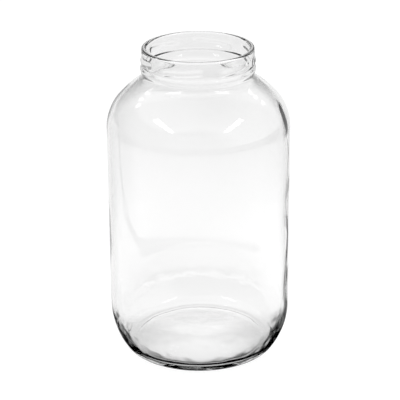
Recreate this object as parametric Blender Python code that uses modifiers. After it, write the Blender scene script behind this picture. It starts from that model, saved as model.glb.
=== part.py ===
"""Wide-mouth preserving jar, blown in one piece of clear glass.

Lengths are in metres, angles in degrees, and +Z is up. The origin is the centre of the narrow ring
that the jar stands on.
The jar is one turned wall, with six short ridges on its neck that a twist-off lid would grip.
"""

import math

import bpy
import bmesh

# Whole jar
OVERALL_HEIGHT = 0.2796
BODY_DIAMETER = 0.1606
WALL = 0.0032

# Neck: a plain band, then the lid's ridges, then a bead just above the shoulder
NECK_DIAMETER = 0.0976
NECK_WALL = 0.0042
NECK_HEIGHT = 0.0268
NECK_ROOT_ROUND = 0.0040
NECK_INNER_ROUND = 0.0080
RIM_ROUND = 0.0013
BEAD_DIAMETER = 0.1000
BEAD_HEIGHT = 0.0058
BEAD_DROP = 0.0187

# Lid ridges, each a short ramp that climbs to the right as seen from outside
RIDGE_COUNT = 6
RIDGE_SPAN = 46.0
RIDGE_FADE = 9.0
RIDGE_FIRST = 13.0
RIDGE_DROP = 0.0110
RIDGE_RISE = 0.0030
RIDGE_WIDTH = 0.0036
RIDGE_DEPTH = 0.0014
RIDGE_END_SHARE = 0.3

# Shoulder: a round that starts at the wall, then a cone up to the neck
SHOULDER_RADIUS = 0.0402
SHOULDER_TURN = 50.2

# Heel: a wide round under the wall, then a tight one down to the standing ring
HEEL_RADIUS = 0.0669
HEEL_TURN = 35.7
FOOT_RADIUS = 0.0077
BEARING_WIDTH = 0.0035

# Underside: a step inside the standing ring, then a shallow dome pushed up into the jar
STEP_ROUND = 0.0040
STEP_TURN = 18.0
PUSH_UP = 0.0060

# Floor inside the jar
BASE_THICKNESS = 0.0070
FLOOR_ROUND = 0.0120
FLOOR_ROUND_START = 27.0

# How finely the curves are cut
STEPS_AROUND = 60
WIDE_ARC_STEP = 8.0
TIGHT_ARC_STEP = 22.0
DOME_STEPS = 3
RIDGE_POINTS = 14
MERGE_DISTANCE = 0.00002

# Clear soda-lime glass
GLASS_COLOUR = (0.93, 0.95, 0.945, 1.0)
GLASS_IOR = 1.52
GLASS_ROUGHNESS = 0.02

SMOOTH_ANGLE = 35.0


def cosine(degrees):
    return math.cos(math.radians(degrees))


def sine(degrees):
    return math.sin(math.radians(degrees))


def tangent(degrees):
    return math.tan(math.radians(degrees))


def arc(centre, radius, start, end, step_angle):
    """Points along an arc in the plane of radius and height, angles in degrees from straight out."""
    steps = max(1, math.ceil(abs(end - start) / step_angle))
    angles = [start + (end - start) * step / steps for step in range(steps + 1)]
    return [(centre[0] + radius * cosine(angle), centre[1] + radius * sine(angle)) for angle in angles]


def dome(edge_radius, top_height, slope):
    """Points from the axis out to the edge of a shallow dome whose edge slopes down by that many degrees."""
    radius = edge_radius / sine(slope)
    centre = (0.0, top_height - radius)
    return arc(centre, radius, 90.0, 90.0 - slope, slope / DOME_STEPS)


def joined(*stretches):
    """One run of points from several stretches, without the points that neighbours share."""
    points = []
    for stretch in stretches:
        for point in stretch:
            if not points or math.dist(points[-1], point) > MERGE_DISTANCE:
                points.append(point)
    return points


# Radii and heights that both faces of the wall follow
body_radius = BODY_DIAMETER / 2
neck_radius = NECK_DIAMETER / 2
bore_radius = neck_radius - NECK_WALL
neck_root_height = OVERALL_HEIGHT - NECK_HEIGHT
shoulder_centre_radius = body_radius - SHOULDER_RADIUS
cone_foot_radius = shoulder_centre_radius + SHOULDER_RADIUS * cosine(SHOULDER_TURN)
cone_height = (cone_foot_radius - neck_radius) / tangent(SHOULDER_TURN)
shoulder_height = neck_root_height - cone_height - SHOULDER_RADIUS * sine(SHOULDER_TURN)
shoulder_centre = (shoulder_centre_radius, shoulder_height)
heel_height = FOOT_RADIUS + (HEEL_RADIUS - FOOT_RADIUS) * sine(HEEL_TURN)
heel_centre = (body_radius - HEEL_RADIUS, heel_height)


def inner_profile():
    """The wall's inner face, from the middle of the floor up to the rim."""
    heel_inner_radius = HEEL_RADIUS - WALL
    reach = heel_inner_radius - FLOOR_ROUND
    corner_centre = (heel_centre[0] + reach * cosine(FLOOR_ROUND_START),
                     heel_centre[1] - reach * sine(FLOOR_ROUND_START))
    floor_top = PUSH_UP + BASE_THICKNESS
    floor_low = corner_centre[1] - FLOOR_ROUND
    slope = 2 * math.degrees(math.atan((floor_top - floor_low) / corner_centre[0]))
    floor_edge = corner_centre[0] - FLOOR_ROUND * sine(slope)

    cone_meets_bore = (neck_root_height - WALL * sine(SHOULDER_TURN)
                       + (NECK_WALL - WALL * cosine(SHOULDER_TURN)) / tangent(SHOULDER_TURN))
    round_centre = (bore_radius + NECK_INNER_ROUND,
                    cone_meets_bore + NECK_INNER_ROUND * tangent(SHOULDER_TURN / 2))
    rim_centre = (bore_radius + RIM_ROUND, OVERALL_HEIGHT - RIM_ROUND)

    return joined(
        dome(floor_edge, floor_top, slope),
        arc(corner_centre, FLOOR_ROUND, -90.0 - slope, -FLOOR_ROUND_START, TIGHT_ARC_STEP),
        arc(heel_centre, heel_inner_radius, -FLOOR_ROUND_START, 0.0, WIDE_ARC_STEP),
        arc(shoulder_centre, SHOULDER_RADIUS - WALL, 0.0, SHOULDER_TURN, WIDE_ARC_STEP),
        arc(round_centre, NECK_INNER_ROUND, 180.0 + SHOULDER_TURN, 180.0, TIGHT_ARC_STEP),
        arc(rim_centre, RIM_ROUND, 180.0, 90.0, TIGHT_ARC_STEP),
    )


def bead_profile():
    """The bead's rounded face, from its top edge to its bottom edge."""
    proud = BEAD_DIAMETER / 2 - neck_radius
    half_height = BEAD_HEIGHT / 2
    radius = (half_height ** 2 + proud ** 2) / (2 * proud)
    half_angle = math.degrees(math.asin(half_height / radius))
    centre = (BEAD_DIAMETER / 2 - radius, OVERALL_HEIGHT - BEAD_DROP)
    return arc(centre, radius, half_angle, -half_angle, TIGHT_ARC_STEP)


def underside_profile(ring_inner_radius):
    """The step inside the standing ring and the pushed-up dome, from the ring in to the axis."""
    step_centre = (ring_inner_radius, STEP_ROUND)
    both_rounds = 2 * STEP_ROUND
    rise_left = PUSH_UP - both_rounds * (1 - cosine(STEP_TURN))
    slope = 2 * math.degrees(math.atan(rise_left / (ring_inner_radius - both_rounds * sine(STEP_TURN))))
    hollow_centre = (ring_inner_radius - both_rounds * sine(STEP_TURN),
                     STEP_ROUND - both_rounds * cosine(STEP_TURN))
    edge_radius = hollow_centre[0] + STEP_ROUND * sine(slope)
    return joined(
        arc(step_centre, STEP_ROUND, -90.0, -90.0 - STEP_TURN, TIGHT_ARC_STEP),
        arc(hollow_centre, STEP_ROUND, 90.0 - STEP_TURN, 90.0 - slope, TIGHT_ARC_STEP),
        reversed(dome(edge_radius, PUSH_UP, slope)),
    )


def outer_profile():
    """The wall's outer face, from the rim down to the middle of the underside."""
    rim_centre = (neck_radius - RIM_ROUND, OVERALL_HEIGHT - RIM_ROUND)
    root_centre = (neck_radius + NECK_ROOT_ROUND,
                   neck_root_height + NECK_ROOT_ROUND * tangent(SHOULDER_TURN / 2))
    foot_reach = HEEL_RADIUS - FOOT_RADIUS
    foot_centre = (heel_centre[0] + foot_reach * cosine(HEEL_TURN), FOOT_RADIUS)

    return joined(
        arc(rim_centre, RIM_ROUND, 90.0, 0.0, TIGHT_ARC_STEP),
        bead_profile(),
        arc(root_centre, NECK_ROOT_ROUND, 180.0, 180.0 + SHOULDER_TURN, TIGHT_ARC_STEP),
        arc(shoulder_centre, SHOULDER_RADIUS, SHOULDER_TURN, 0.0, WIDE_ARC_STEP),
        arc(heel_centre, HEEL_RADIUS, 0.0, -HEEL_TURN, WIDE_ARC_STEP),
        arc(foot_centre, FOOT_RADIUS, -HEEL_TURN, -90.0, TIGHT_ARC_STEP),
        underside_profile(foot_centre[0] - BEARING_WIDTH),
    )


def new_collection(name):
    collection = bpy.data.collections.new(name)
    bpy.context.scene.collection.children.link(collection)
    return collection


def glass_material():
    """Clear glass, see-through and highly polished by the mould and the flame."""
    material = bpy.data.materials.new("clear glass")
    material.use_nodes = True
    shader = material.node_tree.nodes["Principled BSDF"]
    shader.inputs["Base Color"].default_value = GLASS_COLOUR
    shader.inputs["Metallic"].default_value = 0.0
    shader.inputs["Roughness"].default_value = GLASS_ROUGHNESS
    shader.inputs["IOR"].default_value = GLASS_IOR
    shader.inputs["Transmission Weight"].default_value = 1.0
    return material


def turned_jar(collection):
    """The jar's wall: one closed profile turned once round the axis."""
    points = joined(inner_profile(), outer_profile())
    mesh = bpy.data.meshes.new("glass_jar")
    edges = [(index, index + 1) for index in range(len(points) - 1)]
    mesh.from_pydata([(radius, 0.0, height) for radius, height in points], edges, [])
    jar = bpy.data.objects.new("glass_jar", mesh)
    collection.objects.link(jar)

    screw = jar.modifiers.new("turn", "SCREW")
    screw.axis = "Z"
    screw.angle = math.tau
    screw.steps = STEPS_AROUND
    screw.render_steps = STEPS_AROUND
    screw.use_merge_vertices = True
    screw.merge_threshold = MERGE_DISTANCE
    screw.use_smooth_shade = True
    return jar


def ridge_size(along):
    """How full the ridge is at a share of its length, from its faded ends to its full middle."""
    fade_share = RIDGE_FADE / RIDGE_SPAN
    from_end = min(along, 1.0 - along) / fade_share
    full = math.sin(min(from_end, 1.0) * math.pi / 2)
    return RIDGE_END_SHARE + (1.0 - RIDGE_END_SHARE) * full


def lid_ridge(middle, collection):
    """One of the lid's ridges: a tube along a short ramp, sunk in the neck until only its face stands out."""
    tube_radius = RIDGE_WIDTH / 2
    path_radius = neck_radius + RIDGE_DEPTH - tube_radius
    path_height = OVERALL_HEIGHT - RIDGE_DROP

    curve = bpy.data.curves.new("lid_ridge", "CURVE")
    curve.dimensions = "3D"
    curve.bevel_depth = tube_radius
    curve.bevel_resolution = 2
    curve.use_fill_caps = True
    spline = curve.splines.new("POLY")
    spline.points.add(RIDGE_POINTS - 1)
    for index, point in enumerate(spline.points):
        along = index / (RIDGE_POINTS - 1)
        angle = middle + RIDGE_SPAN * (along - 0.5)
        height = path_height + RIDGE_RISE * (along - 0.5)
        point.co = (path_radius * cosine(angle), path_radius * sine(angle), height, 1.0)
        point.radius = ridge_size(along)
    tube = bpy.data.objects.new("lid_ridge_tube", curve)
    collection.objects.link(tube)

    bpy.context.view_layer.update()
    graph = bpy.context.evaluated_depsgraph_get()
    mesh = bpy.data.meshes.new_from_object(tube.evaluated_get(graph))
    shape = bmesh.new()
    shape.from_mesh(mesh)
    bmesh.ops.remove_doubles(shape, verts=shape.verts, dist=MERGE_DISTANCE)
    bmesh.ops.recalc_face_normals(shape, faces=shape.faces)
    shape.to_mesh(mesh)
    shape.free()

    ridge = bpy.data.objects.new("lid_ridge", mesh)
    ridge.matrix_world = tube.matrix_world
    ridge.hide_render = True
    ridge.display_type = "WIRE"
    collection.objects.link(ridge)
    bpy.data.objects.remove(tube)
    return ridge


def join_ridges(jar, collection):
    """Grow the ridges out of the neck, evenly spaced round it."""
    for index in range(RIDGE_COUNT):
        ridge = lid_ridge(RIDGE_FIRST + index * 360.0 / RIDGE_COUNT, collection)
        union = jar.modifiers.new("ridge", "BOOLEAN")
        union.operation = "UNION"
        union.solver = "EXACT"
        union.object = ridge


for leftover in list(bpy.data.objects):
    bpy.data.objects.remove(leftover)

parts = new_collection("preserving_jar")
shapes = new_collection("joined_shapes")

jar = turned_jar(parts)
join_ridges(jar, shapes)
jar.data.materials.append(glass_material())
jar.data.shade_smooth()
jar.data.set_sharp_from_angle(angle=math.radians(SMOOTH_ANGLE))
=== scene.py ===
# %% [markdown]
# # A preserving jar in clear glass
#
# This lesson dresses the bare model of a four litre preserving jar. The jar is blown in one piece, so
# there is one body to make: a turned wall of clear glass, with the small unevenness that a mould and
# blown air leave in it. The rest of the lesson is light, because clear glass shows little of its own.
# It shows what stands around it, bent through its walls.

import math

import bpy
import numpy as np
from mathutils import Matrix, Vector, noise


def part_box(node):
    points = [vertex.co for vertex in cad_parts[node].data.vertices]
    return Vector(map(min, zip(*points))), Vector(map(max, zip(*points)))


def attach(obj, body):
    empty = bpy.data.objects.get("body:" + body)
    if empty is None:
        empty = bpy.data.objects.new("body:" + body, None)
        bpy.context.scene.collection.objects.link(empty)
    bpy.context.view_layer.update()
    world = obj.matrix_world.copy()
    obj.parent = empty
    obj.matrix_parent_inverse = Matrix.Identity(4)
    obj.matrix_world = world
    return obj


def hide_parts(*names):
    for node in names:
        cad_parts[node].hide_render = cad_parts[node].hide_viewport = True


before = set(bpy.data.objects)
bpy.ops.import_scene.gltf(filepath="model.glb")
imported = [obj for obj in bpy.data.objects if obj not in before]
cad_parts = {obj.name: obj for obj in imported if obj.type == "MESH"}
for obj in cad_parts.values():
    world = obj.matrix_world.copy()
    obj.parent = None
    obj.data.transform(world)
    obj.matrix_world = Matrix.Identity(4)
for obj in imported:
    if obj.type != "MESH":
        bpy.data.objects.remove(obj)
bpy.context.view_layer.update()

MM = 0.001
low_corner, high_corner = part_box("glass_jar")
overall_height = high_corner.z - low_corner.z
body_radius = (high_corner.x - low_corner.x) / 2
print(f"the jar is {body_radius * 2 / MM:.1f} mm wide and {overall_height / MM:.1f} mm high")

# %% [markdown]
# ## The camera
#
# The photograph was taken with a long lens from a little above, so the mouth is a flat oval and the
# sides run almost parallel. The camera's place, height and downward tilt were found from the ovals of
# the rim and of the foot. The jar leans less than half a degree to the left in the picture, so the
# camera is turned by that much about its own line of sight. It could be aimed at an empty instead, but
# two angles say the same and are easy to change one at a time.

# %% Place the camera
CAMERA_PLACE = (0.83 * MM, -1423.6 * MM, 702.5 * MM)
CAMERA_LEVEL = 90.0
CAMERA_TILT_DOWN = 21.65
CAMERA_ROLL = -0.42
LENS_MM = 155.0
SENSOR_MM = 36.0
FARTHEST_SEEN = 20.0

bpy.ops.object.camera_add(location=CAMERA_PLACE)
camera = bpy.context.object
camera.name = "camera"
camera.rotation_mode = "ZXY"
camera.rotation_euler = (math.radians(CAMERA_LEVEL - CAMERA_TILT_DOWN), 0.0, math.radians(CAMERA_ROLL))
camera.data.lens = LENS_MM
camera.data.sensor_width = SENSOR_MM
camera.data.clip_end = FARTHEST_SEEN
bpy.context.scene.camera = camera
print(f"the camera stands {Vector(CAMERA_PLACE).length:.2f} m from the jar's foot")

# %% [markdown]
# ## The outline of the wall
#
# A blown jar is round, so its whole wall is one line turned about the axis. The line runs from the
# middle of the floor, up the inner face, over the rim and down the outer face to the middle of the
# underside. Each stretch is a straight run or an arc, and neighbours meet without a corner, because
# hot glass never keeps one. Between shoulder and neck there is no straight cone either: the round of
# the shoulder eases into a much wider one, and a hollow round then takes it up into the neck.
#
# The line could be drawn by eye over the photograph. Here every round has a radius and an angle, as on
# a mould maker's drawing, so a form that looks wrong is mended by changing one number.

# %% Sizes of the wall
# Lengths are in metres and angles in degrees, here and below.
WALL = 3.2 * MM
NECK_RADIUS = 48.8 * MM
NECK_WALL = 4.2 * MM
NECK_HEIGHT = 26.8 * MM
NECK_ROOT_ROUND = 9.0 * MM
NECK_INNER_ROUND = 12.5 * MM
RIM_HEIGHT = 2.0 * MM
SHOULDER_RADIUS = 40.2 * MM
SHOULDER_TURN = 50.2
SHOULDER_EASE_START = 42.0
SHOULDER_EASE_RADIUS = 90.0 * MM
HEEL_RADIUS = 66.9 * MM
HEEL_TURN = 35.7
FOOT_RADIUS = 7.7 * MM
BEARING_WIDTH = 3.5 * MM
STEP_ROUND = 4.0 * MM
STEP_TURN = 18.0
PUSH_UP = 6.0 * MM
BASE_THICKNESS = 7.0 * MM
FLOOR_ROUND = 12.0 * MM
FLOOR_ROUND_START = 27.0

bore_radius = NECK_RADIUS - NECK_WALL
neck_root_height = overall_height - NECK_HEIGHT
print(f"the mouth is {bore_radius * 2 / MM:.1f} mm wide")

# %% [markdown]
# ## Arcs and straight runs
#
# Points sit on each arc at equal angles, wide arcs with smaller ones than tight arcs, so that no facet
# shows on the jar's silhouette. Straight runs are cut into short steps as well. Otherwise the noise
# that makes the glass uneven later would have no points to move there.

# %% Helpers for the outline
WIDE_ARC_STEP = 3.0
HEEL_ARC_STEP = 1.5
TIGHT_ARC_STEP = 6.0
LEAST_ARC_STEPS = 3
DOME_STEPS = 12
STRAIGHT_STEP = 4.0 * MM
LEAST_GAP = 0.01 * MM


def cosine(degrees):
    return math.cos(math.radians(degrees))


def sine(degrees):
    return math.sin(math.radians(degrees))


def tangent(degrees):
    return math.tan(math.radians(degrees))


def arc(centre, radius, start, end, step=TIGHT_ARC_STEP):
    """Points along an arc in the plane of radius and height, angles in degrees from straight out."""
    steps = max(LEAST_ARC_STEPS, math.ceil(abs(end - start) / step))
    angles = [start + (end - start) * index / steps for index in range(steps + 1)]
    return [(centre[0] + radius * cosine(angle), centre[1] + radius * sine(angle)) for angle in angles]


def dome(edge_radius, top_height, slope):
    """Points from the axis to the edge of a shallow dome, which slopes down by that many degrees there."""
    radius = edge_radius / sine(slope)
    return arc((0.0, top_height - radius), radius, 90.0, 90.0 - slope, slope / DOME_STEPS)


def joined(*stretches, step=STRAIGHT_STEP):
    """One run of points from several stretches, the straight runs between them cut into short steps."""
    points = []
    for stretch in stretches:
        for point in stretch:
            if points:
                start = points[-1]
                length = math.dist(start, point)
                if length < LEAST_GAP:
                    continue
                cuts = max(1, math.ceil(length / step - 0.5))
                points += [tuple(a + (b - a) * cut / cuts for a, b in zip(start, point))
                           for cut in range(1, cuts)]
            points.append(point)
    return points


print(f"a quarter turn of a tight round takes {len(arc((0.0, 0.0), MM, 0.0, 90.0))} points")

# %% [markdown]
# ## Where the rounds have their centres
#
# The body's wall stands straight, so the rounds of shoulder and heel are centred level with its two
# ends. The heel's height follows from the foot below it. The shoulder's follows from the neck above it,
# as if a straight cone joined the two, which is how the bare solid has it. The easing round stays close
# to that cone. It starts where the shoulder's round ends and shares its direction there, so its centre
# lies on the same line through that point.

# %% Centres of shoulder and heel
shoulder_centre_radius = body_radius - SHOULDER_RADIUS
cone_foot_radius = shoulder_centre_radius + SHOULDER_RADIUS * cosine(SHOULDER_TURN)
cone_height = (cone_foot_radius - NECK_RADIUS) / tangent(SHOULDER_TURN)
shoulder_height = neck_root_height - cone_height - SHOULDER_RADIUS * sine(SHOULDER_TURN)
shoulder_centre = (shoulder_centre_radius, shoulder_height)
ease_back = SHOULDER_RADIUS - SHOULDER_EASE_RADIUS
ease_centre = (shoulder_centre_radius + ease_back * cosine(SHOULDER_EASE_START),
               shoulder_height + ease_back * sine(SHOULDER_EASE_START))
heel_height = FOOT_RADIUS + (HEEL_RADIUS - FOOT_RADIUS) * sine(HEEL_TURN)
heel_centre = (body_radius - HEEL_RADIUS, heel_height)
print(f"the wall is straight from {heel_height / MM:.0f} to {shoulder_height / MM:.0f} mm above the table")

# %% [markdown]
# ## Both faces of the wall
#
# The inner face is air against hot glass, so its rounds are wider and it has no step at the foot. The
# outer face is the mould's: neck ring, shoulder, heel, a narrow ring to stand on and a pushed-up middle
# that keeps the jar from rocking. The neck is cut into finer steps, because its ridges come later. One
# face with a Solidify modifier would be simpler, but gives both sides the same shape, which no blown
# jar has.

# %% Draw both faces
RIDGE_ZONE_STEP = 0.6 * MM


def lip(start, end):
    """Points over one half of the rim, which fire polishing has rounded like the end of an egg."""
    half = NECK_WALL / 2
    return [(NECK_RADIUS - half + half * across, overall_height - RIM_HEIGHT + RIM_HEIGHT * up)
            for across, up in arc((0.0, 0.0), 1.0, start, end, 2 * TIGHT_ARC_STEP)]


def root_of_neck(neck_radius, root_round, ease_radius):
    """Centre of the hollow round under a neck of that radius, and the slope where it meets the shoulder."""
    reach = ease_radius + root_round
    turn = math.degrees(math.acos((neck_radius + root_round - ease_centre[0]) / reach))
    return (neck_radius + root_round, ease_centre[1] + reach * sine(turn)), turn


def inner_face():
    heel_inner_radius = HEEL_RADIUS - WALL
    reach = heel_inner_radius - FLOOR_ROUND
    corner = (heel_centre[0] + reach * cosine(FLOOR_ROUND_START),
              heel_centre[1] - reach * sine(FLOOR_ROUND_START))
    floor_height = PUSH_UP + BASE_THICKNESS
    slope = 2 * math.degrees(math.atan((floor_height - corner[1] + FLOOR_ROUND) / corner[0]))
    neck_round, turn = root_of_neck(bore_radius, NECK_INNER_ROUND, SHOULDER_EASE_RADIUS - WALL)
    return joined(
        dome(corner[0] - FLOOR_ROUND * sine(slope), floor_height, slope),
        arc(corner, FLOOR_ROUND, -90.0 - slope, -FLOOR_ROUND_START),
        arc(heel_centre, heel_inner_radius, -FLOOR_ROUND_START, 0.0, HEEL_ARC_STEP),
        arc(shoulder_centre, SHOULDER_RADIUS - WALL, 0.0, SHOULDER_EASE_START, WIDE_ARC_STEP),
        arc(ease_centre, SHOULDER_EASE_RADIUS - WALL, SHOULDER_EASE_START, turn, HEEL_ARC_STEP),
        arc(neck_round, NECK_INNER_ROUND, 180.0 + turn, 180.0),
        lip(180.0, 90.0),
    )


def outer_face():
    root, turn = root_of_neck(NECK_RADIUS, NECK_ROOT_ROUND, SHOULDER_EASE_RADIUS)
    foot_reach = HEEL_RADIUS - FOOT_RADIUS
    foot = (heel_centre[0] + foot_reach * cosine(HEEL_TURN), FOOT_RADIUS)
    ring_inside = foot[0] - BEARING_WIDTH
    both_steps = 2 * STEP_ROUND
    rise_left = PUSH_UP - both_steps * (1 - cosine(STEP_TURN))
    slope = 2 * math.degrees(math.atan(rise_left / (ring_inside - both_steps * sine(STEP_TURN))))
    hollow = (ring_inside - both_steps * sine(STEP_TURN), STEP_ROUND - both_steps * cosine(STEP_TURN))
    neck_band = joined(lip(90.0, 0.0), arc(root, NECK_ROOT_ROUND, 180.0, 180.0 + turn),
                       step=RIDGE_ZONE_STEP)
    return joined(
        neck_band,
        arc(ease_centre, SHOULDER_EASE_RADIUS, turn, SHOULDER_EASE_START, HEEL_ARC_STEP),
        arc(shoulder_centre, SHOULDER_RADIUS, SHOULDER_EASE_START, 0.0, WIDE_ARC_STEP),
        arc(heel_centre, HEEL_RADIUS, 0.0, -HEEL_TURN, HEEL_ARC_STEP),
        arc(foot, FOOT_RADIUS, -HEEL_TURN, -90.0),
        arc((ring_inside, STEP_ROUND), STEP_ROUND, -90.0, -90.0 - STEP_TURN),
        arc(hollow, STEP_ROUND, 90.0 - STEP_TURN, 90.0 - slope),
        reversed(dome(hollow[0] + STEP_ROUND * sine(slope), PUSH_UP, slope)),
    )


profile = joined(inner_face(), outer_face())
print(f"the wall's outline has {len(profile)} points")

# %% [markdown]
# ## Turning the wall
#
# One point is drawn out along the outline, step by step, as with the extrude tool, and the line is then
# spun once round the axis, as on a lathe. A Screw modifier would turn it as well, but spin leaves a
# plain mesh at once, and its points are needed next. The ends of the line lie on the axis, so the
# doubled points there are merged and the shell is closed.

# %% Draw the outline and spin it
STEPS_AROUND = 320

bpy.ops.object.select_all(action="DESELECT")
bpy.ops.mesh.primitive_plane_add(size=MM, location=(profile[0][0], 0.0, profile[0][1]))
jar = bpy.context.object
jar.name = "jar_glass"
bpy.ops.object.transform_apply(location=True, rotation=True, scale=True)
bpy.ops.object.mode_set(mode="EDIT")
bpy.ops.mesh.select_all(action="SELECT")
bpy.ops.mesh.merge(type="CENTER")
for start, end in zip(profile, profile[1:]):
    step = (end[0] - start[0], 0.0, end[1] - start[1])
    bpy.ops.mesh.extrude_region_move(TRANSFORM_OT_translate={"value": step})
bpy.ops.mesh.select_all(action="SELECT")
bpy.ops.mesh.spin(steps=STEPS_AROUND, angle=math.tau, center=(0.0, 0.0, 0.0), axis=(0.0, 0.0, 1.0))
bpy.ops.mesh.select_all(action="SELECT")
bpy.ops.mesh.remove_doubles(threshold=LEAST_GAP)
bpy.ops.mesh.select_all(action="SELECT")
bpy.ops.mesh.normals_make_consistent(inside=False)
bpy.ops.object.mode_set(mode="OBJECT")
bpy.ops.object.shade_smooth()
print(f"the turned wall has {len(jar.data.vertices)} points and {len(jar.data.polygons)} faces")

# %% [markdown]
# ## Bead and lid ridges
#
# A twist-off lid grips short ramps on the neck, and a bead below them stops it. In the mould they are
# grooves cut into the neck ring, and hot glass swells into them without filling their corners. Rings
# laid round the neck and joined to it would leave sharp seams. So the neck's own points move outwards
# along the bead and along six ramps, each with a rounded face and faded ends, which keeps the wall one
# closed skin.

# %% Swell the bead and the ridges
BEAD_RADIUS = 50.0 * MM
BEAD_ABOVE = 3.5 * MM
BEAD_BELOW = 6.0 * MM
BEAD_DROP = 18.7 * MM
RIDGE_COUNT = 6
RIDGE_SPAN = 46.0
RIDGE_FADE = 6.0
RIDGE_FIRST = 13.0
RIDGE_DEPTH = 0.9 * MM
RIDGE_DROP = 11.0 * MM
RIDGE_RISE = 3.0 * MM
RIDGE_HALF_WIDTH = 4.2 * MM

points = np.empty(len(jar.data.vertices) * 3)
jar.data.vertices.foreach_get("co", points)
points = points.reshape(-1, 3)
radius = np.hypot(points[:, 0], points[:, 1])
angle = np.degrees(np.arctan2(points[:, 1], points[:, 0]))
height = points[:, 2]


def swelling(crest, above, below):
    """How far a rounded band round the neck has swollen at each point, 0 at its edges and 1 on its crest."""
    up = height - crest
    across = np.clip(np.where(up > 0.0, up / above, -up / below), 0.0, 1.0)
    return 0.5 + 0.5 * np.cos(np.pi * across)


pitch = 360.0 / RIDGE_COUNT
from_middle = (angle - RIDGE_FIRST + pitch / 2) % pitch - pitch / 2
ridge_height = overall_height - RIDGE_DROP + RIDGE_RISE * from_middle / RIDGE_SPAN
from_end = np.clip((RIDGE_SPAN / 2 - np.abs(from_middle)) / RIDGE_FADE, 0.0, 1.0)
across_ridge = swelling(ridge_height, RIDGE_HALF_WIDTH, RIDGE_HALF_WIDTH)
ridges = RIDGE_DEPTH * across_ridge * np.sin(from_end * np.pi / 2)
bead = (BEAD_RADIUS - NECK_RADIUS) * swelling(overall_height - BEAD_DROP, BEAD_ABOVE, BEAD_BELOW)
relief = np.maximum(ridges, bead)

along_neck = (height > neck_root_height) & (height < overall_height - RIM_HEIGHT)
outside_neck = (radius > NECK_RADIUS - MM / 2) & along_neck
grown = np.where(outside_neck, radius + relief, radius)
scale = np.divide(grown, radius, out=np.ones_like(radius), where=radius > LEAST_GAP)
points[:, :2] *= scale[:, None]
print(f"{int((relief[outside_neck] > 0).sum())} points of the neck now stand out as the bead and ridges")

# %% [markdown]
# ## Unevenness of blown glass
#
# The mould makes the outside true, while the inside is only air against hot glass, so the wall is a
# little thicker here and thinner there. That is what makes straight things wander when they are seen
# through a jar. Displace modifiers could do it, but the two faces need different amounts. Here both
# move along their own normals by smooth noise, the inner face by more. Low down, where the glass
# chilled first against a cold mould, there is a finer grain as well, and a fainter one on the inner
# floor. Two spots stand out: a thick one inside the right shoulder, and a slight swelling low on the
# right side.

# %% Inner and outer points
normals = np.empty(len(jar.data.vertices) * 3)
jar.data.vertices.foreach_get("normal", normals)
normals = normals.reshape(-1, 3)

toward_axis = normals[:, 0] * points[:, 0] + normals[:, 1] * points[:, 1] < 0.0
floor_top = (normals[:, 2] > 0.0) & (height < heel_height) & (radius < body_radius - WALL - MM)
is_inner = (height > PUSH_UP + MM) & (toward_axis | floor_top)
print(f"{int(is_inner.sum())} of {len(points)} points lie on the inner face")

# %% Uneven the faces
INNER_WAVE = 0.25 * MM
OUTER_WAVE = 0.05 * MM
WAVE_LENGTH = 34.0 * MM
WAVE_STRETCH = 0.6
WAVE_START = 20.0 * MM
WAVE_FADE = 25.0 * MM
WAVE_SEED = 3.0
GRAIN = 0.20 * MM
GRAIN_LENGTH = 7.0 * MM
GRAIN_START = 8.0 * MM
GRAIN_RISE = 6.0 * MM
GRAIN_TOP = 55.0 * MM
GRAIN_SEED = 11.0
FLOOR_GRAIN = 0.4
FACES_APART = 7.0
NOISE_SLICE = 5.0
# The middle of each spot, its size, and how far the face moves there.
THICK_SPOT = ((76.0 * MM, -5.0 * MM, 220.0 * MM), 18.0 * MM, 0.9 * MM)
LOW_SWELLING = ((80.3 * MM, -6.0 * MM, 70.0 * MM), 9.0 * MM, 0.12 * MM)


def smooth_noise(length, stretch, seed):
    """Noise from -1 to 1 at every point, with waves of about that length, different on each face."""
    return np.array([
        noise.noise(Vector((x, y, z * stretch)) / length + Vector((FACES_APART * inside, seed, NOISE_SLICE)))
        for (x, y, z), inside in zip(points, is_inner)
    ])


def spot(centre, size):
    """How near each point is to the middle of a round spot, from 1 there to 0 well outside."""
    away = np.linalg.norm(points - np.array(centre), axis=1)
    return np.exp(-(away / size) ** 2)


rising = np.clip((height - WAVE_START) / WAVE_FADE, 0.0, 1.0)
below_neck = np.clip((neck_root_height - height) / WAVE_FADE, 0.0, 1.0)
above_foot = np.clip((height - GRAIN_START) / GRAIN_RISE, 0.0, 1.0)
grain_share = np.where(is_inner, np.maximum(above_foot, FLOOR_GRAIN), above_foot)
near_foot = np.clip((GRAIN_TOP - height) / WAVE_FADE, 0.0, 1.0) * grain_share

waves = smooth_noise(WAVE_LENGTH, WAVE_STRETCH, WAVE_SEED)
shift = np.where(is_inner, INNER_WAVE, OUTER_WAVE) * rising * below_neck * waves
shift += GRAIN * near_foot * smooth_noise(GRAIN_LENGTH, 1.0, GRAIN_SEED)
for (centre, size, most), on_this_face in ((THICK_SPOT, is_inner), (LOW_SWELLING, ~is_inner)):
    shift += np.where(on_this_face, most, 0.0) * spot(centre, size)
points += normals * shift[:, None]
jar.data.vertices.foreach_set("co", points.ravel())
jar.data.update()
print(f"the faces wander by up to {np.abs(shift).max() / MM:.2f} mm")

# %% [markdown]
# ## Helpers for finishes
#
# Colours are written as hex values, as on a paint chart, and one function turns them into the linear
# light that shaders count in. A second one gives a plain grey of some tone, where 1 is white. A third
# adds a node with its settings and links in one go, so that a material below reads as a list of its
# nodes. Nodes could be placed by hand in the editor too, but then nothing would say why they are there.

# %% Small helpers for materials


def linear(hex_colour):
    """An sRGB hex colour as the linear red, green, blue and alpha that a shader takes."""
    values = [int(hex_colour[index:index + 2], 16) / 255 for index in (1, 3, 5)]
    return [value / 12.92 if value <= 0.04045 else ((value + 0.055) / 1.055) ** 2.4 for value in values] + [1.0]


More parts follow.
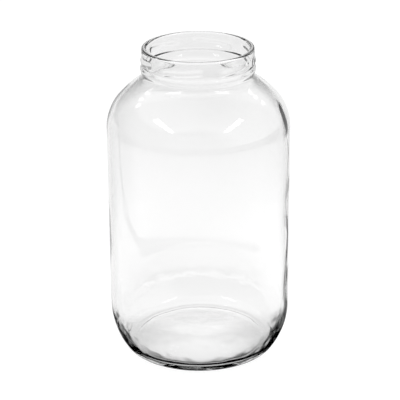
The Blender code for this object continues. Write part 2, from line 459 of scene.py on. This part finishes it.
def grey(tone):
    return [tone] * 3 + [1.0]


def add_node(tree, kind, settings=None, inputs=None):
    """A node with its settings, and its inputs, by name or number, set to values or linked from sockets."""
    node = tree.nodes.new(kind)
    for name, value in (settings or {}).items():
        setattr(node, name, value)
    for name, value in (inputs or {}).items():
        if isinstance(value, bpy.types.NodeSocket):
            tree.links.new(value, node.inputs[name])
        else:
            node.inputs[name].default_value = value
    return node


def new_material(name):
    material = bpy.data.materials.new(name)
    material.use_nodes = True
    material.node_tree.nodes.clear()
    return material


SMOOTH = {"interpolation_type": "SMOOTHSTEP"}
COLOURS = {"data_type": "RGBA"}
CLAMPED_DIFFERENCE = {"operation": "SUBTRACT", "use_clamp": True}
print(f"the grey #808080 is {linear('#808080')[0]:.3f} in linear light")

# %% [markdown]
# ## Clear glass
#
# The jar is flint glass, the trade's word for soda-lime glass without a tint, blown in an iron mould.
# The Glass shader would look the same. The Principled shader is used because other programs can read
# it from an exported model. Full transmission and no roughness make the wall clear right through, and
# the index of 1.52 sets how far it bends what stands behind it and how bright it mirrors the room.
#
# Two traces of making and use are added. The mould's skin leaves a ripple of a hundredth of a
# millimetre, so highlights and edges wobble instead of running straight. On the very crest of the lip
# the parts of the neck mould met, and lids have rubbed it since. Half of the light is scattered there,
# which draws the rim as a pale line.
#
# Light towards the jar's shadow passes the wall straight on, a little dimmed. Glass does focus light
# on the table, but only in fine bright threads, which would come out as grain here.

# %% Clear glass
GLASS_IOR = 1.52
RIPPLE_LENGTH = 14.0 * MM
RIPPLE_HEIGHT = 0.010 * MM
MATTE_STARTS_BELOW_TOP = 0.16 * MM
MATTE_FULL_BELOW_TOP = 0.08 * MM
MATTE_SHARE = 0.5

glass = new_material("flint glass, mould blown")
tree = glass.node_tree
place = add_node(tree, "ShaderNodeTexCoord").outputs["Object"]
ripple = add_node(tree, "ShaderNodeTexNoise", inputs={
    "Vector": place, "Scale": 1.0 / RIPPLE_LENGTH, "Detail": 2.0, "Roughness": 0.4})
rippled = add_node(tree, "ShaderNodeBump", inputs={
    "Height": ripple.outputs["Fac"], "Strength": 1.0, "Distance": RIPPLE_HEIGHT})
# Clear and colourless: the eye sees only what the wall bends and mirrors.
shader = add_node(tree, "ShaderNodeBsdfPrincipled", inputs={
    "Base Color": linear("#ffffff"), "Metallic": 0.0, "Roughness": 0.0, "IOR": GLASS_IOR,
    "Transmission Weight": 1.0, "Normal": rippled.outputs["Normal"]})
path = add_node(tree, "ShaderNodeLightPath")
height_of = add_node(tree, "ShaderNodeSeparateXYZ", inputs={0: place}).outputs["Z"]
on_lip = add_node(tree, "ShaderNodeMapRange", SMOOTH, {
    "Value": height_of, "From Min": overall_height - MATTE_STARTS_BELOW_TOP,
    "From Max": overall_height - MATTE_FULL_BELOW_TOP, "To Min": 0.0, "To Max": MATTE_SHARE}).outputs["Result"]
# Half matte on the crest: a soft white line round the mouth, without a mirror's sparkle.
fine_matte = add_node(tree, "ShaderNodeBsdfDiffuse", inputs={"Color": linear("#ffffff")})
skin = add_node(tree, "ShaderNodeMixShader", inputs={
    0: on_lip, 1: shader.outputs["BSDF"], 2: fine_matte.outputs["BSDF"]})
# Seen from the table, the wall only dims the light a little, so the jar's shadow stays pale.
clear = add_node(tree, "ShaderNodeBsdfTransparent", inputs={"Color": linear("#f0f2f2")})
surface = add_node(tree, "ShaderNodeMixShader", inputs={
    0: path.outputs["Is Shadow Ray"], 1: skin.outputs["Shader"], 2: clear.outputs["BSDF"]})
add_node(tree, "ShaderNodeOutputMaterial", inputs={"Surface": surface.outputs["Shader"]})
jar.data.materials.append(glass)

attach(jar, "root")
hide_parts("glass_jar")
print(f"the glass has {len(tree.nodes)} nodes and stands for the solid glass_jar")

# %% [markdown]
# ## The paper sweep
#
# Clear glass is drawn by its surroundings, so the table matters as much as the jar. The jar stands on
# uncoated white paper, matte and evenly lit, which gives the eye a plain white without shine, and only
# the soft shadow of the jar. Through the glass the same paper isn't even: it is bent and mirrored from
# places that the picture doesn't show. Those could be lit with many real lamps and flags. Here they are
# written down as a tone for each distance from the jar, which is quicker to render, free of grain and
# easy to adjust.
#
# The standing ring never touches the paper all over. A gap as thin as a fibre keeps air under it, so
# light that runs down inside the wall is mirrored there instead of passing into the paper.

# %% Lay the paper
FLOOR_SIZE = 8.0
FIBRE_GAP = 0.05 * MM

bpy.ops.object.select_all(action="DESELECT")
bpy.ops.mesh.primitive_plane_add(size=FLOOR_SIZE, location=(0.0, 0.0, -FIBRE_GAP))
floor = bpy.context.object
floor.name = "studio_floor"

paper = new_material("white paper sweep, matte")
tree = paper.node_tree
place = add_node(tree, "ShaderNodeTexCoord").outputs["Object"]
reach = add_node(tree, "ShaderNodeVectorMath", {"operation": "LENGTH"}, {0: place}).outputs["Value"]
sides = add_node(tree, "ShaderNodeSeparateXYZ", inputs={0: place})
toward_back = add_node(tree, "ShaderNodeMath", {"operation": "DIVIDE"}, {
    0: sides.outputs["Y"], 1: reach}).outputs["Value"]
to_right = add_node(tree, "ShaderNodeMath", {"operation": "DIVIDE"}, {
    0: sides.outputs["X"], 1: reach}).outputs["Value"]
print(f"the paper lies {FIBRE_GAP / MM:.2f} mm under the standing ring")

# %% [markdown]
# ## Tones of the paper round the jar
#
# The light on a photographer's table isn't the same all over. Behind the jar the paper is evenly pale.
# In front it is brightest two to four hand's breadths away and ends in the dark before the camera. The
# photographed glass is a little lighter on its right, so that side of the paper gains an eighth. Under
# the jar, light gathers that came down through the glass, and where the foot stands it is dimmer.
#
# Light that reaches the eye straight through the glass, without being mirrored inside it, has come from
# the sweep behind, whichever side the jar is seen from. So such rays find plain paper further out, and
# the jar stays clear from its sides and from behind.

# %% Tones seen in the glass
# Each pair is the distance from the jar's axis in metres and the tone there, where 1 is white.
BEHIND_TONES = (
    (0.0, 1.08), (0.02, 1.15), (0.055, 1.05), (0.062, 0.75), (0.07, 0.92),
    (0.13, 0.87), (0.23, 0.97), (0.36, 0.915), (1.0, 0.88))
FRONT_TONES = (
    (0.0, 1.0), (0.02, 0.96), (0.04, 0.88), (0.062, 0.75), (0.09, 0.72), (0.12, 0.95),
    (0.22, 1.5), (0.42, 1.35), (0.60, 0.9), (0.82, 0.2), (1.0, 0.25))
# A ramp holds tones up to 1, so they are stored divided by this, and the paper's strength restores them.
TONE_SCALE = 1.8
THROUGH_TONE = 0.9
RIGHT_GAIN = 0.12
# Where each change starts and is complete: as a share towards the back, or in metres from the axis.
BEHIND_FROM, BEHIND_FULL = 0.1, 0.7
GAIN_FROM, GAIN_FULL = 0.08, 0.20
THROUGH_FROM, THROUGH_FULL = 0.12, 0.30

is_behind = add_node(tree, "ShaderNodeMapRange", SMOOTH, {
    "Value": toward_back, "From Min": BEHIND_FROM, "From Max": BEHIND_FULL}).outputs["Result"]
tones = []
for stops in (FRONT_TONES, BEHIND_TONES):
    ramp = add_node(tree, "ShaderNodeValToRGB", inputs={"Fac": reach})
    for distance, tone in stops[1:-1]:
        ramp.color_ramp.elements.new(distance)
    for element, (distance, tone) in zip(ramp.color_ramp.elements, stops):
        element.position = distance
        element.color = grey(tone / TONE_SCALE)
    tones.append(ramp.outputs["Color"])
front, behind = tones

gain_here = add_node(tree, "ShaderNodeMapRange", SMOOTH, {
    "Value": reach, "From Min": GAIN_FROM, "From Max": GAIN_FULL,
    "To Min": 0.0, "To Max": RIGHT_GAIN}).outputs["Result"]
gain = add_node(tree, "ShaderNodeMath", {"operation": "MULTIPLY_ADD"}, {
    0: to_right, 1: gain_here, 2: 1.0}).outputs["Value"]
front = add_node(tree, "ShaderNodeVectorMath", {"operation": "SCALE"}, {
    0: front, "Scale": gain}).outputs["Vector"]

# How often a ray was mirrored in the glass before it came here. Clamped, 1 less that is 1 or 0.
mirrored = add_node(tree, "ShaderNodeLightPath").outputs["Glossy Depth"]
unmirrored = add_node(tree, "ShaderNodeMath", CLAMPED_DIFFERENCE, {0: 1.0, 1: mirrored}).outputs["Value"]
far_through = add_node(tree, "ShaderNodeMapRange", SMOOTH, {
    "Value": reach, "From Min": THROUGH_FROM, "From Max": THROUGH_FULL,
    "To Min": 0.0, "To Max": unmirrored}).outputs["Result"]
front = add_node(tree, "ShaderNodeMix", COLOURS, {
    "Factor": far_through, "A": front, "B": grey(THROUGH_TONE / TONE_SCALE)}).outputs["Result"]
in_glass = add_node(tree, "ShaderNodeMix", COLOURS, {"Factor": is_behind, "A": front, "B": behind})
print(f"the paper's tones run from {min(tone for _, tone in FRONT_TONES)} to "
      f"{max(tone for _, tone in FRONT_TONES)} in front of the jar")

# %% [markdown]
# ## The shade under the heel
#
# The heel curves in above the paper, so a narrow crescent under its front is in the jar's own shade.
# The glass bends and mirrors it into the dark band just above the foot. The crescent could be left to
# the lamps, but clear glass casts no deep shade in a renderer. It is drawn with circles instead: two
# for its inner edge, left and right, and a wider one for its outer edge. Close to the foot a thin line
# stays light, where light leaks out under the heel.

# %% Shade the crescent
# Each circle has its centre, its radius and half the width of its soft edge.
CRESCENT_LEFT = ((17.0 * MM, 54.9 * MM, 0.0), 108.2 * MM, 6.0 * MM)
CRESCENT_RIGHT = ((-14.0 * MM, 33.6 * MM, 0.0), 86.7 * MM, 6.0 * MM)
CRESCENT_OUTSIDE = ((8.5 * MM, 43.6 * MM, 0.0), 121.6 * MM, 8.0 * MM)
CRESCENT_TONE = 0.0
CRESCENT_FULL, CRESCENT_END = 0.38, 0.62
FOOT_LINE_RADIUS = 60.5 * MM
FOOT_LINE_WIDTH = 6.0 * MM
FOOT_LINE_SHADE = 0.1

beyond = []
for centre, circle_radius, edge in (CRESCENT_LEFT, CRESCENT_RIGHT, CRESCENT_OUTSIDE):
    from_centre = add_node(tree, "ShaderNodeVectorMath", {"operation": "DISTANCE"}, {0: place, 1: centre})
    beyond.append(add_node(tree, "ShaderNodeMapRange", SMOOTH, {
        "Value": from_centre.outputs["Value"],
        "From Min": circle_radius - edge, "From Max": circle_radius + edge}).outputs["Result"])
beyond_left, beyond_right, beyond_outside = beyond
either_lobe = add_node(tree, "ShaderNodeMath", {"operation": "MAXIMUM"}, {0: beyond_left, 1: beyond_right})
between = add_node(tree, "ShaderNodeMath", CLAMPED_DIFFERENCE, {
    0: either_lobe.outputs["Value"], 1: beyond_outside})
in_crescent = add_node(tree, "ShaderNodeMapRange", SMOOTH, {
    "Value": toward_back, "From Min": CRESCENT_FULL, "From Max": CRESCENT_END, "To Min": 1.0, "To Max": 0.0})

off_line = add_node(tree, "ShaderNodeMath", {"operation": "SUBTRACT"}, {0: reach, 1: FOOT_LINE_RADIUS})
off_line = add_node(tree, "ShaderNodeMath", {"operation": "ABSOLUTE"}, {0: off_line.outputs["Value"]})
off_line = add_node(tree, "ShaderNodeMapRange", SMOOTH, {
    "Value": off_line.outputs["Value"], "From Min": 0.0, "From Max": FOOT_LINE_WIDTH,
    "To Min": FOOT_LINE_SHADE, "To Max": 1.0})

shade = add_node(tree, "ShaderNodeMath", {"operation": "MULTIPLY"}, {
    0: between.outputs["Value"], 1: in_crescent.outputs["Result"]})
shade = add_node(tree, "ShaderNodeMath", {"operation": "MULTIPLY"}, {
    0: shade.outputs["Value"], 1: off_line.outputs["Result"]})
shaded = add_node(tree, "ShaderNodeMix", COLOURS, {
    "Factor": shade.outputs["Value"], "A": in_glass.outputs["Result"], "B": grey(CRESCENT_TONE / TONE_SCALE)})
inner_edge = CRESCENT_LEFT[1] - CRESCENT_LEFT[0][1]
outer_edge = CRESCENT_OUTSIDE[1] - CRESCENT_OUTSIDE[0][1]
print(f"in front, the shade lies {inner_edge / MM:.0f} to {outer_edge / MM:.0f} mm from the axis")

# %% [markdown]
# ## The paper as the camera sees it
#
# Seen straight on, the paper is plain white. Most of that is a glow of its own, and the rest a matte
# grey that takes light and shadow from the lamps, so the jar's soft shadow stays on it. Paper lit by
# the lamps alone would need far more light on the jar to come out white.

# %% Paper seen directly
PAPER_GLOW = 0.8

seen_in_glass = add_node(tree, "ShaderNodeEmission", inputs={
    "Color": shaded.outputs["Result"], "Strength": TONE_SCALE})
# Matte, like uncoated paper: the shadow shows on it, and no lamp is mirrored in it.
lit_paper = add_node(tree, "ShaderNodeBsdfDiffuse", inputs={"Color": linear("#8c8c8c")})
bright_paper = add_node(tree, "ShaderNodeEmission", inputs={"Color": linear("#ffffff"), "Strength": PAPER_GLOW})
seen_directly = add_node(tree, "ShaderNodeAddShader", inputs={
    0: lit_paper.outputs["BSDF"], 1: bright_paper.outputs["Emission"]})
is_direct = add_node(tree, "ShaderNodeLightPath").outputs["Is Camera Ray"]
surface = add_node(tree, "ShaderNodeMixShader", inputs={
    0: is_direct, 1: seen_in_glass.outputs["Emission"], 2: seen_directly.outputs["Shader"]})
add_node(tree, "ShaderNodeOutputMaterial", inputs={"Surface": surface.outputs["Shader"]})
floor.data.materials.append(paper)
print(f"the paper has {len(tree.nodes)} nodes")

# %% [markdown]
# ## The grey card
#
# Photographers lay card beside clear glass, just where the bent light of the edges comes from, so that
# the edges are drawn with a darker line. The jar's right side needs a little of that. A black card
# drew too hard a line, so one long grey card lies on the paper to the right and points away behind the
# jar. The camera sees it only through the glass, and it gives no shadow of its own.

# %% Lay the card
CARD_START = 92.0 * MM
CARD_LENGTH = 700.0 * MM
CARD_WIDTH = 24.0 * MM
CARD_BEARING = 65.0
CARD_ABOVE_PAPER = 1.0 * MM

# Dyed through and uncoated: an even grey from every side, with no shine.
grey_card = new_material("grey card, matte")
tree = grey_card.node_tree
matte = add_node(tree, "ShaderNodeBsdfDiffuse", inputs={"Color": linear("#606060"), "Roughness": 1.0})
add_node(tree, "ShaderNodeOutputMaterial", inputs={"Surface": matte.outputs["BSDF"]})

bpy.ops.object.select_all(action="DESELECT")
bpy.ops.mesh.primitive_plane_add(size=1.0, location=(CARD_LENGTH / 2, 0.0, CARD_ABOVE_PAPER))
card = bpy.context.object
card.name = "card_right"
card.scale = (CARD_LENGTH, CARD_WIDTH, 1.0)
bpy.ops.object.transform_apply(location=True, rotation=True, scale=True)
card.rotation_euler.z = math.radians(CARD_BEARING)
card.location.x = CARD_START
bpy.ops.object.transform_apply(location=True, rotation=True, scale=True)
card.data.materials.append(grey_card)
card.visible_camera = False
card.visible_diffuse = False
card.visible_shadow = False
print(f"the card starts {CARD_START / MM:.0f} mm from the axis and is {CARD_LENGTH / MM:.0f} mm long")

# %% [markdown]
# ## The room
#
# Around the table stands a dim studio. Behind the jar the pale paper ends a little above the table,
# with a dark room above it. The right wall is white and dims only near the ceiling. The left one is
# dim beside the jar and light above it, and the one behind the camera is half dark and then black.
# The room could be built of walls, or be a picture wrapped round the scene. Four ramps of tone, one
# for each wall, are enough, because curved glass squeezes them into thin lines.
#
# The camera, and the paper's own shading, see plain white instead, which gives the picture its clean
# background. As with the paper, light that came straight through the glass finds plain paper in every
# direction but the photograph's own background.

# %% Tones of the walls
# Each pair is a height, from 0 when level to 1 straight up, and the tone there, where 1 is white.
FRONT_WALL = ((0.0, 0.5), (0.45, 0.5), (0.6, 0.08), (1.0, 0.05))
LEFT_WALL = ((0.0, 0.37), (0.5, 0.42), (0.64, 0.95), (1.0, 0.75))
RIGHT_WALL = ((0.0, 1.0), (0.64, 1.0), (0.82, 0.8), (1.0, 0.4))
BACK_WALL = (
    (0.0, 0.95), (0.07, 0.4), (0.13, 0.3), (0.24, 0.25),
    (0.28, 0.02), (0.52, 0.0), (0.66, 0.3), (1.0, 0.2))
# Each wall laid over the left one: its axis, and where on that axis it starts and is complete.
WALLS_OVER_LEFT = (
    (RIGHT_WALL, "X", -0.3, 0.4),
    (FRONT_WALL, "Y", -0.6, -0.9),
    (BACK_WALL, "Y", 0.68, 0.86))
BACKGROUND_FROM, BACKGROUND_FULL = 0.3, 0.68

world = bpy.data.worlds.new("studio")
world.use_nodes = True
bpy.context.scene.world = world
tree = world.node_tree
tree.nodes.clear()
# In a world, this output is the direction in which a ray leaves the scene.
direction = add_node(tree, "ShaderNodeTexCoord").outputs["Generated"]
parts = add_node(tree, "ShaderNodeSeparateXYZ", inputs={0: direction})
walls = []
for stops in (LEFT_WALL, *(stops for stops, *_ in WALLS_OVER_LEFT)):
    ramp = add_node(tree, "ShaderNodeValToRGB", inputs={"Fac": parts.outputs["Z"]})
    for height_share, tone in stops[1:-1]:
        ramp.color_ramp.elements.new(height_share)
    for element, (height_share, tone) in zip(ramp.color_ramp.elements, stops):
        element.position = height_share
        element.color = grey(tone)
    walls.append(ramp.outputs["Color"])
seen = walls[0]
for wall, (_, axis, start, full) in zip(walls[1:], WALLS_OVER_LEFT):
    faced = add_node(tree, "ShaderNodeMapRange", SMOOTH, {
        "Value": parts.outputs[axis], "From Min": start, "From Max": full}).outputs["Result"]
    seen = add_node(tree, "ShaderNodeMix", COLOURS, {"Factor": faced, "A": seen, "B": wall}).outputs["Result"]
print(f"the room has {len(walls)} walls of tone")

# %% What each ray sees of the room
path = add_node(tree, "ShaderNodeLightPath")
unmirrored = add_node(tree, "ShaderNodeMath", CLAMPED_DIFFERENCE, {0: 1.0, 1: path.outputs["Glossy Depth"]})
not_back = add_node(tree, "ShaderNodeMapRange", SMOOTH, {
    "Value": parts.outputs["Y"], "From Min": BACKGROUND_FROM, "From Max": BACKGROUND_FULL,
    "To Min": unmirrored.outputs["Value"], "To Max": 0.0})
seen = add_node(tree, "ShaderNodeMix", COLOURS, {
    "Factor": not_back.outputs["Result"], "A": seen, "B": grey(THROUGH_TONE)}).outputs["Result"]
room = add_node(tree, "ShaderNodeBackground", inputs={"Color": seen, "Strength": 1.0})
plain = add_node(tree, "ShaderNodeBackground", inputs={"Color": linear("#ffffff"), "Strength": 1.0})
sees_plain = add_node(tree, "ShaderNodeMath", {"operation": "MAXIMUM"}, {
    0: path.outputs["Is Camera Ray"], 1: path.outputs["Is Diffuse Ray"]})
either = add_node(tree, "ShaderNodeMixShader", inputs={
    0: sees_plain.outputs["Value"], 1: room.outputs["Background"], 2: plain.outputs["Background"]})
add_node(tree, "ShaderNodeOutputWorld", inputs={"Surface": either.outputs["Shader"]})
print(f"the world has {len(tree.nodes)} nodes")

# %% [markdown]
# ## The lamps
#
# Two long strip lights hang over the table, left and right, and run from above the jar towards the
# camera: each draws one slanting streak on the shoulder. Six small lamps stand high behind the jar,
# three to each side, and give the short dashes where the shoulder turns away. Glowing panels would give
# the same streaks, but lamps also light the paper without leaving grain on it. Each lamp's brightness is
# written as the tone that a perfect mirror would show of it.

# %% Strip lights
SHOULDER_LEVEL = 0.23
STRIP_OUT = 1.1
STRIP_FORWARD = 0.85
STRIP_UP = 1.43
STRIP_LENGTH = 1.2
STRIP_WIDTH = 0.2
STRIP_TONE = 4.5


def hang_lamp(name, place, aim, size_across, size_along, tone):
    """A flat lamp at a place, facing a point, whose brightness is given as a tone where 1 is white."""
    facing = (Vector(aim) - Vector(place)).to_track_quat("-Z", "Y").to_euler()
    bpy.ops.object.light_add(type="AREA", location=place, rotation=facing)
    lamp = bpy.context.object
    lamp.name = name
    lamp.data.shape = "RECTANGLE"
    lamp.data.size = size_across
    lamp.data.size_y = size_along
    # A flat lamp spreads its watts over its area and over half a sphere, which counts as pi.
    lamp.data.energy = tone * math.pi * size_across * size_along
    return lamp


for side, name in ((-1.0, "strip_left"), (1.0, "strip_right")):
    strip = hang_lamp(name, (STRIP_OUT * side, -STRIP_FORWARD, STRIP_UP), (0.0, -STRIP_FORWARD, SHOULDER_LEVEL),
                      STRIP_LENGTH, STRIP_WIDTH, STRIP_TONE)
    print(f"{strip.name} gives {strip.data.energy:.2f} W")

# %% Small lamps behind the shoulder
BACK_LAMP_TONE = 2.6
BACK_LAMP_AWAY = 3.0
# Each lamp has its bearing from the right, its climb above the shoulder and its size in metres.
BACK_LAMPS = (
    (134.0, 38.5, 0.22), (142.0, 35.3, 0.16), (149.5, 34.5, 0.20),
    (46.0, 37.5, 0.20), (41.0, 34.5, 0.16), (37.5, 29.0, 0.16))

shoulder_middle = Vector((0.0, 0.0, SHOULDER_LEVEL))
for number, (bearing, climb, size) in enumerate(BACK_LAMPS, 1):
    toward = Vector((cosine(climb) * cosine(bearing), cosine(climb) * sine(bearing), sine(climb)))
    hang_lamp(f"back_lamp_{number}", shoulder_middle + BACK_LAMP_AWAY * toward, shoulder_middle,
              size, size, BACK_LAMP_TONE)
print(f"{len(BACK_LAMPS)} small lamps stand {BACK_LAMP_AWAY:.0f} m behind the shoulder")

# %% [markdown]
# ## Finishing
#
# Light can run a long way inside a glass wall, mirrored from face to face, before it leaves by the rim
# or the foot, and a real wall takes a little of it on the way. Here the renderer follows each ray
# through six bends and mirrorings. What is caught for longer is lost, and that draws the black lines at
# the foot and the rim as the eye sees them. With more of them those lines would turn pale.

# %% Finish
BENDS_AND_MIRRORINGS = 6

for limit in ("max_bounces", "glossy_bounces", "transmission_bounces"):
    setattr(bpy.context.scene.cycles, limit, BENDS_AND_MIRRORINGS)
# Standard shows every tone as it is written.
bpy.context.scene.view_settings.view_transform = "Standard"
